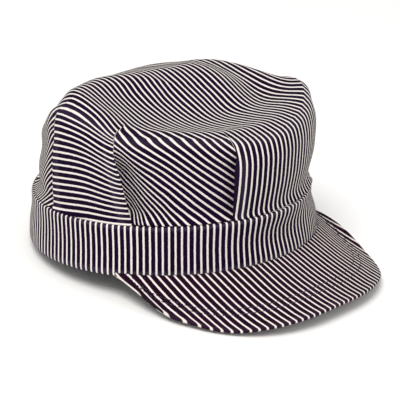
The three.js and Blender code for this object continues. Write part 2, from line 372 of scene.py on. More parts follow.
# Cloth of the slanted front panel: angle from the front centre, then the distance across
# the stripes from the middle of the cloth, in millimetres, at even steps up the wall.
SLANT_CLOTH = np.array([
    (16, 73.5, 65.0, 56.4, 47.0, 37.6, 28.2),
    (20, 77.5, 69.2, 60.8, 51.7, 42.5, 33.4),
    (25, 82.5, 74.5, 66.3, 57.6, 48.6, 40.5),
    (30, 88.4, 80.1, 72.2, 63.6, 55.0, 46.9),
    (35, 93.1, 85.8, 78.4, 69.9, 61.3, 52.5),
    (40, 99.5, 91.6, 84.6, 76.3, 67.4, 58.1),
    (44, 105.2, 98.2, 89.4, 81.2, 72.0, 62.8),
    (48, 111.4, 104.9, 95.7, 85.6, 76.4, 66.3),
    (51, 115.5, 109.5, 101.4, 90.0, 79.8, 69.4),
    (54, 123.2, 114.8, 106.0, 95.6, 84.4, 71.5),
    (57, 130.8, 124.3, 110.5, 100.0, 87.3, 74.0),
])
SLANT_UPS = np.linspace(0, 1, 6)

# The same for the side panel.
SIDE_CLOTH = np.array([
    (57, 160.4, 147.3, 132.8, 117.2, 101.9, 94.4, 78.6),
    (64, 160.1, 147.1, 133.1, 119.6, 102.6, 95.0, 82.8),
    (75, 159.9, 146.8, 133.3, 119.7, 104.4, 96.1, 86.3),
    (87, 157.9, 144.6, 131.1, 117.6, 103.7, 96.0, 86.9),
    (93.5, 156.9, 143.3, 129.7, 116.2, 102.6, 95.2, 86.1),
])
SIDE_UPS = np.array([0, 0.2, 0.4, 0.6, 0.8, 0.9, 1.0])


def panel_cloth(table, ups, away, up):
    """Distance across the stripes on a panel, at angles and a share of the height."""
    steps = np.array([read_curve(table, step + 1, away) for step in range(len(ups))])
    rows = np.column_stack([ups, steps])
    return np.array([read_curve(rows, column + 1, up) for column in range(steps.shape[1])])


def slant_cloth(away, up):
    """The slanted front panel's cloth, carried on past both its folds."""
    beyond = np.minimum(away - FRONT_FOLD, 0) + 2.0 * np.maximum(away - SIDE_FOLD, 0)
    return panel_cloth(SLANT_CLOTH, SLANT_UPS, away, up) + beyond


# Behind the rear fold the cloth's distance falls by so many millimetres a degree, and the
# slanted rear panel holds so much more cloth than the slanted front one.
REAR_FALL = 0.94
REAR_FULLNESS = 12.0

# Extra cloth of the wearer's left at the front, side and rear folds.
LEFT_EXTRA = (39, 19, 0)

# Height of the wall's cloth from the headband to the shoulder.
WALL_CLOTH = 70.0


def wall_cloth(grid, ups, reaches, angles, panel, side):
    """Cloth coordinates: across the stripes and along them, in millimetres."""
    across = grid[:, :, 0].copy()
    along = grid[:, :, 1].copy()
    plain = (panel == 0) | (panel == 4)
    for row, up in enumerate(ups):
        away = panel_angle(angles[row])
        front = slant_cloth(away, up)
        level = panel_cloth(SIDE_CLOTH, SIDE_UPS, away, up)
        behind = (away - REAR_FOLD) / (BACK_FOLD - REAR_FOLD)
        mirrored = SIDE_FOLD - behind * (SIDE_FOLD - FRONT_FOLD)
        fuller = REAR_FULLNESS * smooth_step(SIDE_FOLD, FRONT_FOLD, mirrored)
        far = slant_cloth(mirrored, up) + fuller
        near = panel_cloth(SIDE_CLOTH, SIDE_UPS, np.minimum(away, REAR_FOLD), up)
        near -= REAR_FALL * np.maximum(away - REAR_FOLD, 0)
        back = near + (far - near) * smooth_step(98, 135, away)
        back += (np.abs(grid[row, :, 0]) - back) * smooth_step(0.72, 1.0, up)
        by_panel = np.select([panel == 1, panel == 2, panel == 3], [front, level, back], 0.0)
        extra = np.interp(away, (FRONT_FOLD, SIDE_FOLD, REAR_FOLD), LEFT_EXTRA)
        by_panel += extra * (side < 0)
        eased = smooth_step(0.7, 1.0, up) * (side < 0)
        by_panel += (np.abs(grid[row, :, 0]) - by_panel) * eased
        across[row] = np.where(plain, across[row], -side * by_panel)
        along[row] -= (1 - up) * WALL_CLOTH * np.cos(np.radians(angles[row]))
    last = len(ups) - 1
    jump = across[last] - grid[last, :, 0]
    for row, reach in enumerate(reaches):
        across[last + 1 + row] += jump * smooth_step(0.74, 0.95, reach)
    return np.stack([across, along], axis=2)


def cloth_mesh(name, points, faces, cloth, wear, nodes, material):
    """A finished piece from points in the cap's frame, with its cloth map and wear."""
    mesh = bpy.data.meshes.new(name)
    mesh.from_pydata([tuple(p) for p in cap_to_row(points)], [], [tuple(f) for f in faces])
    mesh.validate(clean_customdata=False)
    layer = mesh.uv_layers.new(name="Cloth")
    corners = np.empty(len(mesh.loops), dtype=np.int32)
    mesh.loops.foreach_get("vertex_index", corners)
    layer.data.foreach_set("uv", (np.asarray(cloth)[corners] / 1000).astype(np.float32).ravel())
    worn = mesh.attributes.new("Wear", "FLOAT", "POINT")
    worn.data.foreach_set("value", np.asarray(wear, dtype=np.float32))
    mesh.shade_smooth()
    piece = bpy.data.objects.new(name, mesh)
    bpy.context.scene.collection.objects.link(piece)
    piece.data.materials.append(material)
    for node in nodes:
        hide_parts(node)
    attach(piece, "root")
    return piece


def ring_faces(rows, columns, start, flip=False):
    """Quads of a closed grid of rings, with the rings counted upwards."""
    faces = []
    for row in range(rows - 1):
        for column in range(columns):
            after = (column + 1) % columns
            a, b = start + row * columns + column, start + row * columns + after
            c, d = b + columns, a + columns
            faces.append((a, d, c, b) if not flip else (a, b, c, d))
    return faces


def grid_normals(grid, pole):
    """Outward normals of a closed grid of rings with a pole past its last ring."""
    right = np.roll(grid, -1, axis=1)
    left = np.roll(grid, 1, axis=1)
    above = np.concatenate([grid[1:], np.broadcast_to(pole, grid[:1].shape)])
    below = np.concatenate([grid[:1], grid[:-1]])
    normal = np.cross(above - below, right - left)
    length = np.linalg.norm(normal, axis=2, keepdims=True)
    return normal / np.maximum(length, 1e-9)


# Rows of the crown's wall, from its foot to the shoulder, and rings of its top.
WALL_UPS = (
    0.0, 0.012, 0.03, 0.055, 0.085, 0.12, 0.16, 0.2, 0.245, 0.29, 0.335, 0.38, 0.425, 0.47,
    0.515, 0.56, 0.6, 0.64, 0.68, 0.72, 0.76, 0.8, 0.835, 0.87, 0.9, 0.925, 0.95, 0.97,
    0.985, 1.0,
)
TOP_REACHES = (
    0.9, 0.88, 0.855, 0.83, 0.8, 0.77, 0.735, 0.7, 0.66, 0.62, 0.58, 0.54, 0.5, 0.46, 0.42,
    0.38, 0.34, 0.3, 0.26, 0.22, 0.18, 0.14, 0.1, 0.06, 0.03,
)


def make_crown(material):
    """The one-piece crown: a folded outer face, a plain lining side and a closed foot."""
    columns = crown_columns()
    count = len(columns)
    outer, cloth = crown_surface(columns, WALL_UPS, TOP_REACHES)
    rows = len(outer)
    top_z = BAND_HEIGHT + SEAM_GAP * 0.5 + (CROWN_HEIGHT - SEAM_GAP) * CROWN_CENTRE
    pole = np.array([0.0, 0.0, top_z])
    plain = [(column[0], column[0], 0.0, column[3], column[4]) for column in columns]
    smooth, _ = crown_surface(plain, WALL_UPS, TOP_REACHES)
    normals = grid_normals(smooth, pole)
    ups = np.array([*WALL_UPS, *np.ones(len(TOP_REACHES))])
    depth = 1.3 + 4.4 * smooth_step(0.0, 0.08, ups) * (1 - smooth_step(0.7, 1.0, ups))
    normals[0, :, 2] = 0
    inner = smooth - normals * depth[:, None, None]
    points = np.vstack([outer.reshape(-1, 3), inner.reshape(-1, 3), pole, pole - (0, 0, 1.3)])
    maps = np.vstack([cloth.reshape(-1, 2), cloth.reshape(-1, 2), (0, 0), (0, 0)])
    faces = ring_faces(rows, count, 0) + ring_faces(rows, count, rows * count, flip=True)
    tip = 2 * rows * count
    last = (rows - 1) * count
    for i in range(count):
        after = (i + 1) % count
        faces.append((i, after, rows * count + after, rows * count + i))
        faces.append((last + i, tip, last + after))
        faces.append((rows * count + last + i, rows * count + last + after, tip + 1))
    fold = np.array([np.exp(-(((c[1] - c[0]) / 1.5) ** 2)) * (c[2] > 0.2) for c in columns])
    worn = np.zeros((rows, count))
    worn[: len(WALL_UPS)] = fold * (1 - smooth_step(0.7, 1.0, ups[: len(WALL_UPS), None])) * 0.6
    rim = np.exp(-(((ups - 0.97) / 0.05) ** 2))
    rim[len(WALL_UPS):] = 0
    worn += rim[:, None] * 0.35
    wear = np.concatenate([worn.ravel(), np.zeros(rows * count), (0, 0)])
    return cloth_mesh(
        "crown_cloth", points, faces, maps, wear, ["crown"], material
    )


# Section of the headband from its lower outer edge round to the inside: inset from the
# outer face, height as a share from the lower to the upper edge, and part of the dent.
BAND_SECTION = (
    (1.2, 0.0, 0.0), (0.7, 0.004, 0.0), (0.3, 0.02, 0.0), (0.08, 0.04, 0.0),
    (0.0, 0.09, 0.05), (0.0, 0.16, 0.2), (0.0, 0.26, 0.5), (0.0, 0.38, 0.85),
    (0.0, 0.5, 1.0), (0.0, 0.62, 0.9), (0.0, 0.74, 0.55), (0.0, 0.84, 0.2),
    (0.0, 0.91, 0.05), (0.08, 0.96, 0.0), (0.3, 0.984, 0.0), (0.7, 0.996, 0.0),
    (1.2, 1.0, 0.0), (2.5, 0.995, 0.0), (3.0, 0.97, 0.0), (3.2, 0.92, 0.0),
    (3.2, 0.7, 0.0), (3.2, 0.4, 0.0), (3.2, 0.12, 0.0), (3.0, 0.03, 0.0), (2.4, 0.003, 0.0),
)


# Places where the headband is pressed in: depth in millimetres, angle and width in
# degrees. The first group presses its middle, the second draws its upper edge in.
BAND_DENTS = ((2.4, -8, 18), (0.5, 0, 45))
BAND_DRAWS = ((2.2, 132, 28), (4.2, -50, 24))
BAND_SLACK = 0.5
BAND_GATHER = 11.7


def pressed_in(angle, places):
    """Sum of smooth hollows, each given by its depth, angle and width."""
    return sum(depth * np.exp(-(((angle - at) / width) ** 2)) for depth, at, width in places)


def oval_lengths(count):
    """Arc length round the headband's outer face at evenly spaced angles, from the front."""
    fine = np.radians(np.arange(0, 360.01, 0.05))
    points = np.column_stack([-BAND_HALF_WIDTH * np.sin(fine), -BAND_HALF_DEPTH * np.cos(fine)])
    steps = np.linalg.norm(np.diff(points, axis=0), axis=1)
    lengths = np.concatenate([[0], np.cumsum(steps)])
    return np.interp(np.radians(np.arange(count) * 360 / count), fine, lengths), lengths[-1]


def make_headband(material):
    """The headband: a closed ring, dented a little at the front."""
    count = 240
    angles = np.arange(count) * 360 / count
    radians = np.radians(angles)
    lengths, around = oval_lengths(count)
    signed = np.where(angles > 180, lengths - around, lengths)
    turned = around_front(angles)
    dent = BAND_SLACK + pressed_in(turned, BAND_DENTS)
    drawn = pressed_in(turned, BAND_DRAWS)
    gather = BAND_GATHER * smooth_step(25, 180, np.abs(signed)) * np.sign(signed)
    full = BAND_HEIGHT + BAND_LIP
    points = []
    maps = []
    wear = []
    for number, (inset, height, dented) in enumerate(BAND_SECTION):
        back = inset + dent * dented + drawn * smooth_step(0.3, 0.85, height)
        x = -(BAND_HALF_WIDTH - back) * np.sin(radians)
        y = -(BAND_HALF_DEPTH - back) * np.cos(radians)
        z = np.full(count, full * height - BAND_LIP)
        points.append(np.column_stack([x, y, z]))
        maps.append(np.column_stack([-signed - gather, z]))
        wear.append(np.full(count, 0.7 if number in (2, 3, 4, 13, 14) else 0.0))
    rows = len(BAND_SECTION)
    faces = []
    for row in range(rows):
        for column in range(count):
            after = (column + 1) % count
            a, b = row * count + column, row * count + after
            above = ((row + 1) % rows) * count
            faces.append((a, above + column, above + after, b))
    piece = cloth_mesh(
        "headband_cloth", np.vstack(points), faces, np.vstack(maps), np.concatenate(wear),
        ["band"], material,
    )
    return mend_wrap(piece, around + 2 * BAND_GATHER)


def mend_wrap(piece, around):
    """Carries the cloth map on past the ring's seam at the back."""
    layer = piece.data.uv_layers["Cloth"].data
    for polygon in piece.data.polygons:
        values = [layer[loop].uv[0] for loop in polygon.loop_indices]
        if max(values) - min(values) > around / 2000:
            for loop in polygon.loop_indices:
                if layer[loop].uv[0] < 0:
                    layer[loop].uv[0] += around / 1000
    return piece


# How far the visor's cloth was pulled across its stripes: place across the visor, then the
# shift at five places from the rim back to the headband, all in millimetres.
VISOR_CLOTH = np.array([
    (-90, -0.5, -2.3, -3.8, -5.0, -7.2),
    (-70, 1.4, 0.2, -1.7, -2.6, -3.3),
    (-55, 1.8, 1.2, -0.5, -1.3, -1.8),
    (-38, 1.9, 1.2, 0.0, -0.4, -0.6),
    (-22, 1.3, 0.6, -0.3, -0.3, 0.0),
    (-8, 0.3, -0.1, -0.1, 0.3, 0.8),
    (8, -0.2, -0.3, 0.2, 1.0, 1.6),
    (22, -0.2, -0.5, 0.2, 1.4, 2.6),
    (38, -0.3, -1.4, -0.9, 0.1, 1.1),
    (65, -0.4, -1.6, -1.4, -0.6, 0.2),
    (92, -0.4, -1.6, -1.4, -0.6, 0.2),
])
VISOR_DEPTHS = (-130, -110, -90, -70, -50)


def visor_shift(x, y):
    """Shift of the visor's cloth across its stripes at points of the visor."""
    count = len(VISOR_DEPTHS)
    steps = np.array([read_curve(VISOR_CLOTH, step + 1, x) for step in range(count)])
    shift = np.empty(x.shape)
    for place in np.ndindex(x.shape):
        column = np.column_stack([VISOR_DEPTHS, steps[(slice(None), *place)]])
        shift[place] = read_curve(column, 1, y[place])
    return shift


# The visor's corner on the wearer's right: how far its rim comes in as a share of the
# width, and how far its end lies forward in degrees.
CORNER_IN = 0.03
CORNER_FORWARD = 3.0


def visor_rows(along):
    """Seam point, rim point and drop of the visor at places along it.

    The places run from -1 at the wearer's left corner to 1 at the right one. The right
    side hangs lower than the table says, and the left side lies higher.
    """
    place = np.abs(along)
    corner = BAND_HALF_DEPTH * np.cos(np.radians(VISOR_CORNER))
    wide = read_curve(OUTLINE_TABLE, 1, place) * VISOR_HALF_WIDTH
    out = read_curve(OUTLINE_TABLE, 2, place)
    at_corner = smooth_step(0.82, 1.0, along)
    wide *= 1 - CORNER_IN * at_corner
    drop = read_curve(OUTLINE_TABLE, 3, place) * VISOR_DROP
    drop *= 1 - 0.08 * smooth_step(0.05, 0.5, -along) - 0.3 * smooth_step(0.7, 1.0, -along)
    drop *= 1 + 0.28 * smooth_step(0.74, 0.86, along)
    reach = corner + (BAND_HALF_DEPTH + VISOR_REACH - corner) * out
    rim = np.column_stack([-np.sign(along) * wide, -reach])
    turn = np.radians(VISOR_CORNER * along - VISOR_TURN - CORNER_FORWARD * at_corner)
    seam = np.column_stack([
        -(BAND_HALF_WIDTH + SEAM_GAP) * np.sin(turn),
        -(BAND_HALF_DEPTH + SEAM_GAP) * np.cos(turn),
    ])
    return seam @ turned_visor(), rim, drop


def turned_visor():
    """The visor's turn about the upright axis, towards the wearer's left."""
    turn = np.radians(VISOR_TURN)
    return np.array([[np.cos(turn), -np.sin(turn)], [np.sin(turn), np.cos(turn)]])


def visor_face(along, shares, rim_inset, depth):
    """Grid of visor points, one row for each share of the way from headband to rim.

    The depth below the upper face halves towards the corners.
    """
    seam, rim, drop = visor_rows(along)
    length = np.linalg.norm(rim - seam, axis=1)
    depth = depth * (1 - 0.5 * smooth_step(0.8, 1.0, np.abs(along)))
    rows = []
    for share in shares:
        reach = share * np.maximum(1 - rim_inset / length, 0.5)
        flat = seam + (rim - seam) * reach[:, None]
        fall = read_curve(FALL_TABLE, 1, reach)
        rows.append(np.column_stack([flat, -drop * fall - depth]))
    return np.array(rows)


def slab_faces(rows, columns):
    """Faces of a closed section swept along a strip, with both ends closed."""
    faces = []
    for row in range(rows):
        after = (row + 1) % rows
        for column in range(columns - 1):
            a, b = row * columns + column, row * columns + column + 1
            c, d = after * columns + column + 1, after * columns + column
            faces.append((a, d, c, b))
    faces.append(tuple(row * columns for row in range(rows)))
    faces.append(tuple(row * columns + columns - 1 for row in reversed(range(rows))))
    return faces


def visor_slab(name, depth, thickness, rim_inset, roll, nodes, material):
    """A layer of the visor with a rounded rim, as one closed piece."""
    along = np.linspace(-1, 1, 161)
    shares = np.linspace(0, 1, 30)
    round_edge = thickness / 2
    top = visor_face(along, shares, rim_inset + round_edge, depth)
    under = visor_face(along, shares[::-1], rim_inset + round_edge, depth + thickness)
    seam, rim, _ = visor_rows(along)
    outward = rim - seam
    outward /= np.linalg.norm(outward, axis=1, keepdims=True)
    swell = roll * smooth_step(0.86, 1.0, shares)
    top[:, :, 2] += swell[:, None]
    edge = []
    radius = (top[-1, :, 2] - under[0, :, 2]) / 2
    for turn in np.radians(np.linspace(15, 165, 9)):
        step = top[-1].copy()
        step[:, :2] += outward * (round_edge * np.sin(turn))[..., None]
        step[:, 2] -= radius * (1 - np.cos(turn))
        edge.append(step)
    rows = np.concatenate([top, np.array(edge), under])
    count = len(along)
    first = len(top)
    steps = np.linalg.norm(np.diff(rows, axis=0), axis=2)
    run = np.vstack([np.zeros(count), np.cumsum(steps, axis=0)])
    past = np.maximum(run - run[first - 1], 0)
    across = rows[:, :, 0].copy()
    across[:first] += visor_shift(rows[:first, :, 0], rows[:first, :, 1])
    across[first:] = across[first - 1] + outward[:, 0] * past[first:]
    maps = np.stack([across, -run], axis=2)
    wear = np.zeros(rows.shape[:2])
    wear[first - 2 : first + 6] = 0.25
    rows[:, :, :2] = rows[:, :, :2] @ turned_visor().T
    return cloth_mesh(
        name, rows.reshape(-1, 3), slab_faces(len(rows), count), maps.reshape(-1, 2),
        wear.ravel(), nodes, material,
    )


def stitch_path(inset):
    """Line on the visor's face at a distance from its rim, in the row frame.

    It ends near the corners, where the visor gets too narrow for it.
    """
    along = np.linspace(-1, 1, 401)
    seam, rim, drop = visor_rows(along)
    length = np.linalg.norm(rim - seam, axis=1)
    share = 1 - inset / length
    kept = share > 0.12
    seam, rim, drop, share = seam[kept], rim[kept], drop[kept], share[kept]
    flat = seam + (rim - seam) * share[:, None]
    line = np.column_stack([flat, STITCH_LIFT - drop * read_curve(FALL_TABLE, 1, share)])
    line[:, :2] = line[:, :2] @ turned_visor().T
    return cap_to_row(line)


def stitch_tree():
    """Geometry nodes that lay sewing stitches along the edges of a mesh."""
    tree = bpy.data.node_groups.new("Stitches", "GeometryNodeTree")
    face = tree.interface
    face.new_socket("Path", in_out="INPUT", socket_type="NodeSocketGeometry")
    for name in ("Pitch", "Width"):
        socket = face.new_socket(name, in_out="INPUT", socket_type="NodeSocketFloat")
        socket.subtype = "DISTANCE"
    face.new_socket("Seed", in_out="INPUT", socket_type="NodeSocketInt")
    face.new_socket("Thread", in_out="INPUT", socket_type="NodeSocketMaterial")
    face.new_socket("Stitches", in_out="OUTPUT", socket_type="NodeSocketGeometry")
    given = tree.nodes.new("NodeGroupInput").outputs
    curve = add_node(tree, "GeometryNodeMeshToCurve", {"Mesh": given["Path"]}).outputs[0]
    points = add_node(
        tree, "GeometryNodeCurveToPoints", {"Curve": curve, "Length": given["Pitch"]},
        mode="LENGTH",
    ).outputs
    vary = add_node(
        tree, "FunctionNodeRandomValue", {2: 0.92, 3: 1.08, "Seed": given["Seed"]},
        data_type="FLOAT",
    ).outputs[1]
    long = scaled(tree, scaled(tree, given["Pitch"], 0.4), vary)
    thick = scaled(tree, given["Width"], 0.5)
    scale = add_node(tree, "ShaderNodeCombineXYZ", {0: thick, 1: thick, 2: long}).outputs[0]
    bead = add_node(
        tree, "GeometryNodeMeshUVSphere", {"Segments": 6, "Rings": 5, "Radius": 1.0}
    )
    laid = add_node(
        tree, "GeometryNodeInstanceOnPoints",
        {
            "Points": points["Points"], "Instance": bead.outputs[0],
            "Rotation": points["Rotation"], "Scale": scale,
        },
    ).outputs[0]
    real = add_node(tree, "GeometryNodeRealizeInstances", {"Geometry": laid}).outputs[0]
    done = add_node(
        tree, "GeometryNodeSetMaterial", {"Geometry": real, "Material": given["Thread"]}
    ).outputs[0]
    add_node(tree, "NodeGroupOutput", {0: done})
    return tree


def make_stitching(sizes, material):
    """Two rows of stitches that follow the visor's rim, as one plain mesh."""
    lines = [stitch_path(inset) for inset in STITCH_INSETS]
    edges = []
    start = 0
    for line in lines:
        edges += [(start + i, start + i + 1) for i in range(len(line) - 1)]
        start += len(line)
    path = bpy.data.meshes.new("stitch_path")
    path.from_pydata([tuple(p) for p in np.vstack(lines)], edges, [])
    guide = bpy.data.objects.new("stitch_path", path)
    bpy.context.scene.collection.objects.link(guide)
    tree = stitch_tree()
    sewing = guide.modifiers.new("Stitches", "NODES")
    sewing.node_group = tree
    values = {
        "Pitch": sizes.stitch_pitch, "Width": sizes.stitch_width, "Seed": 4, "Thread": material,
    }
    for socket in tree.interface.items_tree:
        if socket.name in values:
            sewing[socket.identifier] = values[socket.name]
    bpy.context.view_layer.update()
    sewn = guide.evaluated_get(bpy.context.evaluated_depsgraph_get())
    mesh = bpy.data.meshes.new_from_object(sewn)
    bpy.data.objects.remove(guide)
    if not mesh.polygons:
        raise RuntimeError("no stitches were laid along the visor")
    mesh.shade_smooth()
    piece = bpy.data.objects.new("visor_stitching", mesh)
    bpy.context.scene.collection.objects.link(piece)
    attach(piece, "root")
    return piece


def add_node(tree, kind, inputs=(), **settings):
    """A node with its settings, and its inputs given as values or as other sockets."""
    node = tree.nodes.new(kind)
    for name, value in settings.items():
        setattr(node, name, value)
    for key, value in dict(inputs).items():
        if isinstance(value, bpy.types.NodeSocket):
            tree.links.new(value, node.inputs[key])
        else:
            node.inputs[key].default_value = value
    return node


def math_node(tree, operation, first, second=0.0):
    node = add_node(tree, "ShaderNodeMath", {0: first, 1: second}, operation=operation)
    return node.outputs[0]


def scaled(tree, value, factor):
    return math_node(tree, "MULTIPLY", value, factor)


def blend_colours(tree, factor, first, second, mode="MIX"):
    node = add_node(
        tree, "ShaderNodeMix", {0: factor, 6: first, 7: second},
        data_type="RGBA", blend_type=mode,
    )
    return node.outputs[2]


# The twill's own measures in metres: its slanting ribs, its yarns, and how far a stripe's
# edge wanders and frays.
RIB_PITCH = 0.00085
YARN_PITCH = 0.00042
STRIPE_WANDER = 0.00035
STRIPE_FRAY = 0.0004
WORN_YARN = (0.22, 0.18, 0.28, 1)


def striped_twill(name, dark, light, spacing, share, shift):
    """Cotton twill with narrow light stripes, read from the piece's own cloth map."""
    material = bpy.data.materials.new(name)
    material.use_nodes = True
    tree = material.node_tree
    tree.nodes.clear()
    cloth = add_node(tree, "ShaderNodeUVMap", uv_map="Cloth").outputs[0]
    parts = add_node(tree, "ShaderNodeSeparateXYZ", {0: cloth}).outputs
    across, along = parts[0], parts[1]
    place = add_node(tree, "ShaderNodeTexCoord").outputs["Object"]
    coarse = add_node(
        tree, "ShaderNodeTexNoise", {"Vector": cloth, "Scale": 260.0, "Detail": 2.0}
    ).outputs[0]
    fine = add_node(
        tree, "ShaderNodeTexNoise", {"Vector": cloth, "Scale": 2600.0, "Detail": 1.0}
    ).outputs[0]
    wander = scaled(tree, math_node(tree, "SUBTRACT", coarse, 0.5), STRIPE_WANDER)
    fray = scaled(tree, math_node(tree, "SUBTRACT", fine, 0.5), STRIPE_FRAY)
    moved = math_node(tree, "ADD", math_node(tree, "ADD", across, wander), fray)
    turns = math_node(tree, "DIVIDE", math_node(tree, "ADD", moved, shift), spacing)
    inside = math_node(tree, "FRACT", math_node(tree, "ADD", turns, 0.5))
    off = math_node(tree, "ABSOLUTE", math_node(tree, "SUBTRACT", inside, 0.5))
    stripe = add_node(
        tree, "ShaderNodeMapRange",
        {0: off, 1: share / 2 + 0.035, 2: share / 2 - 0.035, 3: 0.0, 4: 1.0},
        interpolation_type="SMOOTHSTEP",
    ).outputs[0]
    slant = math_node(tree, "ADD", across, scaled(tree, along, 0.8))
    ribs = math_node(tree, "SINE", scaled(tree, slant, 2 * np.pi / RIB_PITCH))
    yarn = math_node(tree, "SINE", scaled(tree, across, 2 * np.pi / YARN_PITCH))
    weave = math_node(tree, "ADD", scaled(tree, ribs, 0.6), scaled(tree, yarn, 0.4))
    blotch = add_node(
        tree, "ShaderNodeTexNoise", {"Vector": place, "Scale": 34.0, "Detail": 3.0}
    ).outputs[0]
    tone = add_node(
        tree, "ShaderNodeMapRange", {0: blotch, 1: 0.3, 2: 0.7, 3: 0.78, 4: 1.25}
    ).outputs[0]
    pick = scaled(tree, math_node(tree, "ADD", weave, 1.0), 0.5)
    dark_deep = tuple(c * 0.72 for c in dark[:3]) + (1,)
    dark_high = tuple(min(c * 1.35 + 0.001, 1) for c in dark[:3]) + (1,)
    dark_yarn = blend_colours(tree, pick, dark_deep, dark_high)
    dark_toned = blend_colours(tree, 1.0, dark_yarn, tone, "MULTIPLY")
    light_low = tuple(c * 0.82 for c in light[:3]) + (1,)
    light_yarn = blend_colours(tree, pick, light_low, tuple(light[:3]) + (1,))
    worn = add_node(tree, "ShaderNodeAttribute", attribute_name="Wear").outputs["Fac"]
    rub = scaled(tree, worn, scaled(tree, fine, 0.34))
    dark_worn = blend_colours(tree, rub, dark_toned, WORN_YARN)
    colour = blend_colours(tree, stripe, dark_worn, light_yarn)
    rough = add_node(
        tree, "ShaderNodeMapRange", {0: blotch, 1: 0.3, 2: 0.7, 3: 0.82, 4: 0.95}
    ).outputs[0]
    raised = math_node(tree, "ADD", scaled(tree, weave, 0.5), scaled(tree, fine, 0.5))
    bump = add_node(
        tree, "ShaderNodeBump", {"Height": raised, "Strength": 0.5, "Distance": 0.00012}
    ).outputs[0]
    shader = add_node(
        tree, "ShaderNodeBsdfPrincipled",
        {
            "Base Color": colour, "Roughness": rough, "Normal": bump, "Sheen Weight": 0.012,
            "Sheen Roughness": 0.4, "Specular IOR Level": 0.05,
        },
    ).outputs[0]
    add_node(tree, "ShaderNodeOutputMaterial", {0: shader})
    return material


def thread_material(name, colour):
    """Twisted sewing thread."""
    material = bpy.data.materials.new(name)
    material.use_nodes = True
    tree = material.node_tree
    tree.nodes.clear()
    place = add_node(tree, "ShaderNodeTexCoord").outputs["Object"]
    ply = add_node(
        tree, "ShaderNodeTexWave", {"Vector": place, "Scale": 900.0, "Distortion": 0.8},
        bands_direction="DIAGONAL",
    ).outputs["Fac"]
    deep = tuple(c * 0.6 for c in colour[:3]) + (1,)
    tint = blend_colours(tree, ply, deep, tuple(colour[:3]) + (1,))
    rough = add_node(tree, "ShaderNodeMapRange", {0: ply, 3: 0.6, 4: 0.8}).outputs[0]
    bump = add_node(
        tree, "ShaderNodeBump", {"Height": ply, "Strength": 0.6, "Distance": 0.0001}
    ).outputs[0]
    shader = add_node(
        tree, "ShaderNodeBsdfPrincipled",
        {"Base Color": tint, "Roughness": rough, "Normal": bump, "Sheen Weight": 0.1},
    ).outputs[0]
    add_node(tree, "ShaderNodeOutputMaterial", {0: shader})
    return material


class CapSizes(bpy.types.PropertyGroup):
    """Sizes of the cap's cloth and sewing."""

    stripe_spacing: bpy.props.FloatProperty(
        name="Stripe spacing", description="Distance from one light stripe to the next",
        default=0.0042, min=0.001, unit="LENGTH",
    )
    stripe_share: bpy.props.FloatProperty(
        name="Light share", description="Light part of one stripe and its gap",
        default=0.31, min=0.05, max=0.95, subtype="FACTOR",
    )
    stitch_pitch: bpy.props.FloatProperty(
        name="Stitch pitch", description="Distance from one stitch to the next",
        default=0.0027, min=0.001, unit="LENGTH",
    )
    stitch_width: bpy.props.FloatProperty(
        name="Thread width", description="Width of the sewing thread",
        default=0.0006, min=0.0001, unit="LENGTH",
    )


class CapColours(bpy.types.PropertyGroup):
    """Colours of the cap and the floor."""

    dark: bpy.props.FloatVectorProperty(
        name="Dark yarn", description="Colour between the stripes on crown and headband",
        default=(0.0068, 0.0008, 0.0145), size=3, min=0, max=1, subtype="COLOR",
    )
    visor_dark: bpy.props.FloatVectorProperty(
        name="Visor yarn", description="Colour between the stripes on the visor",
        default=(0.0140, 0.0018, 0.0120), size=3, min=0, max=1, subtype="COLOR",
    )
    light: bpy.props.FloatVectorProperty(
        name="Light yarn", description="Colour of the narrow stripes",
        default=(0.88, 0.82, 0.77), size=3, min=0, max=1, subtype="COLOR",
    )
    thread: bpy.props.FloatVectorProperty(
        name="Thread", description="Colour of the sewing thread",
        default=(0.03, 0.016, 0.05), size=3, min=0, max=1, subtype="COLOR",
    )
    floor: bpy.props.FloatVectorProperty(
        name="Floor", description="Colour of the floor",
        default=(0.96, 0.955, 0.95), size=3, min=0, max=1, subtype="COLOR",
    )


# Place of the visor's stripes in metres, and how much narrower they are.
VISOR_SHIFT = -0.002
VISOR_NARROW = 0.86


def twill(scene, name, dark, shift=0.0, narrow=1.0):
    """Striped twill in the scene's own spacing and light yarn."""
    sizes = scene.cap_sizes
    light = tuple(scene.cap_colours.light)
    share = sizes.stripe_share * narrow
    return striped_twill(name, tuple(dark), light, sizes.stripe_spacing, share, shift)


class CapMakeCrown(bpy.types.Operator):
    """Sew the pleated crown"""

    bl_idname = "cap.make_crown"
    bl_label = "Crown"

    def execute(self, context):
        make_crown(twill(context.scene, "crown_twill", context.scene.cap_colours.dark))
        return {"FINISHED"}


class CapMakeHeadband(bpy.types.Operator):
    """Sew the headband"""

    bl_idname = "cap.make_headband"
    bl_label = "Headband"

    def execute(self, context):
        make_headband(twill(context.scene, "headband_twill", context.scene.cap_colours.dark))
        return {"FINISHED"}


class CapMakeVisor(bpy.types.Operator):
    """Cover the visor's board above and below"""

    bl_idname = "cap.make_visor"
    bl_label = "Visor"

    def execute(self, context):
        colour = context.scene.cap_colours.visor_dark
        above = twill(context.scene, "visor_twill", colour, VISOR_SHIFT, VISOR_NARROW)
        visor_slab(
            "visor_cover", 0.0, COVER_THICKNESS, 0.0, RIM_ROLL, ["visor_upper"], above
        )
        below = twill(
            context.scene, "visor_underside_twill", colour, VISOR_SHIFT, VISOR_NARROW
        )
        visor_slab(
            "visor_underside_cloth", COVER_THICKNESS + SEAM_GAP, UNDERSIDE_THICKNESS,
            UNDERSIDE_INSET, 0.0, ["visor_underside"], below,
        )
        return {"FINISHED"}


class CapMakeStitching(bpy.types.Operator):
    """Sew two rows of stitches along the visor's rim"""

    bl_idname = "cap.make_stitching"
    bl_label = "Stitching"

    def execute(self, context):
        thread = thread_material("visor_thread", tuple(context.scene.cap_colours.thread))
        make_stitching(context.scene.cap_sizes, thread)
        return {"FINISHED"}


